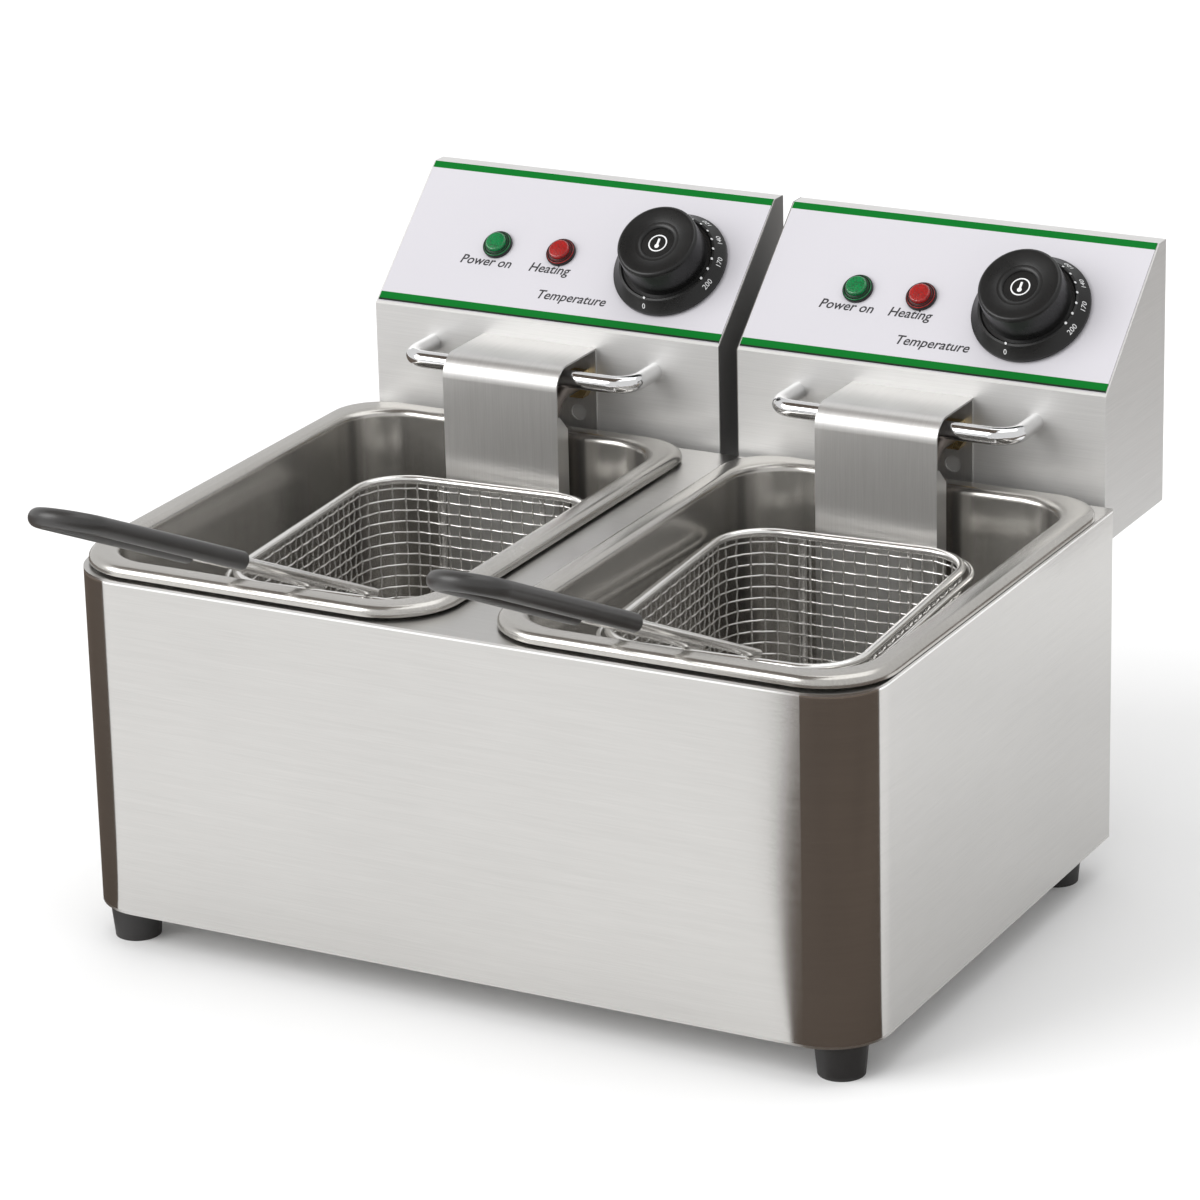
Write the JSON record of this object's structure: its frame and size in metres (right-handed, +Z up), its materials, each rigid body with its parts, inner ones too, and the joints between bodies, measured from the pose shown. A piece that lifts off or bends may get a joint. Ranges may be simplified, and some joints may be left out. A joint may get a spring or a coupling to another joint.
{
  "type": "deep fryer",
  "caption": "Countertop deep fryer with side-by-side lift-out wells, hang-on sloped control heads with dial and lamps, shielded elements and wire baskets with raised handles.",
  "frame": {"origin": "middle of the overall box in plan, at the table surface under the feet", "axes": "+X to the right along the front, +Y from the front towards the heads at the rear, +Z up"},
  "size_m": [0.452, 0.5538, 0.3265],
  "materials": {
    "housing_steel": "satin brushed",
    "tank_steel": "satin",
    "bracket_steel": "galvanised",
    "screw_steel": "plated",
    "element_steel": "heat tinted",
    "chrome": "polished",
    "basket_wire": "bright plated",
    "label": "printed film",
    "black_plastic": "satin",
    "green_lens": "translucent",
    "red_lens": "translucent",
    "red_plastic": "gloss",
    "rubber": "matt",
    "grip_vinyl": "satin dipped vinyl",
    "brass": "turned",
    "copper": "drawn"
  },
  "bodies": {
    "housing": {"housing_shell": "housing_steel", "top_deck": "housing_steel", "base_plate": "housing_steel", "rear_panel": "housing_steel", "rear_rails": "bracket_steel", "rubber_feet": "rubber", "foot_screws": "screw_steel", "panel_screws": "screw_steel"},
    "left_well": {"left_tank": "tank_steel"},
    "left_head": {"left_head_casing": "housing_steel", "left_back_cover": "housing_steel", "left_cover_screws": "screw_steel", "left_label": "label", "left_thermostat": "black_plastic", "left_lamp_bodies": "black_plastic", "left_green_lens": "green_lens", "left_red_lens": "red_lens", "left_lift_handle": "chrome", "left_handle_nuts": "screw_steel", "left_shield": "housing_steel", "left_element": "element_steel", "left_element_nuts": "brass", "left_sensor": "copper", "left_cutout": "black_plastic", "left_bracket": "bracket_steel", "left_gland": "black_plastic"},
    "left_dial": {"left_knob": "black_plastic", "left_spindle": "screw_steel"},
    "left_reset": {"left_reset_button": "red_plastic"},
    "left_basket": {"left_basket_frame": "basket_wire", "left_basket_mesh": "basket_wire", "left_basket_handle": "basket_wire", "left_grip": "grip_vinyl"},
    "right_well": {"right_tank": "tank_steel"},
    "right_head": {"right_head_casing": "housing_steel", "right_back_cover": "housing_steel", "right_cover_screws": "screw_steel", "right_label": "label", "right_thermostat": "black_plastic", "right_lamp_bodies": "black_plastic", "right_green_lens": "green_lens", "right_red_lens": "red_lens", "right_lift_handle": "chrome", "right_handle_nuts": "screw_steel", "right_shield": "housing_steel", "right_element": "element_steel", "right_element_nuts": "brass", "right_sensor": "copper", "right_cutout": "black_plastic", "right_bracket": "bracket_steel", "right_gland": "black_plastic"},
    "right_dial": {"right_knob": "black_plastic", "right_spindle": "screw_steel"},
    "right_reset": {"right_reset_button": "red_plastic"},
    "right_basket": {"right_basket_frame": "basket_wire", "right_basket_mesh": "basket_wire", "right_basket_handle": "basket_wire", "right_grip": "grip_vinyl"}
  },
  "joints": [
    {"name": "left_tank_lift", "type": "slide", "parent": "housing", "child": "left_well", "axis": [0, 0, 1], "range_m": [0, 0.16]},
    {"name": "left_head_lift", "type": "slide", "parent": "left_well", "child": "left_head", "axis": [0, 0, 1], "range_m": [0, 0.16]},
    {"name": "left_basket_lift", "type": "slide", "parent": "left_head", "child": "left_basket", "axis": [0, 0, 1], "range_m": [0, 0.14]},
    {"name": "left_knob_turn", "type": "hinge", "parent": "left_head", "child": "left_dial", "pos_m": [-0.05031, 0.21619, 0.29259], "axis": [0, 0.6679, -0.7442], "range_deg": [0, 270]},
    {"name": "left_reset_push", "type": "slide", "parent": "left_head", "child": "left_reset", "axis": [0, -1, 0], "range_m": [0, 0.002], "stiffness_N_per_m": 300, "springref_m": -0.002},
    {"name": "right_tank_lift", "type": "slide", "parent": "housing", "child": "right_well", "axis": [0, 0, 1], "range_m": [0, 0.16]},
    {"name": "right_head_lift", "type": "slide", "parent": "right_well", "child": "right_head", "axis": [0, 0, 1], "range_m": [0, 0.16]},
    {"name": "right_basket_lift", "type": "slide", "parent": "right_head", "child": "right_basket", "axis": [0, 0, 1], "range_m": [0, 0.14]},
    {"name": "right_knob_turn", "type": "hinge", "parent": "right_head", "child": "right_dial", "pos_m": [0.1623, 0.21619, 0.29259], "axis": [0, 0.6679, -0.7442], "range_deg": [0, 270]},
    {"name": "right_reset_push", "type": "slide", "parent": "right_head", "child": "right_reset", "axis": [0, -1, 0], "range_m": [0, 0.002], "stiffness_N_per_m": 300, "springref_m": -0.002}
  ]
}
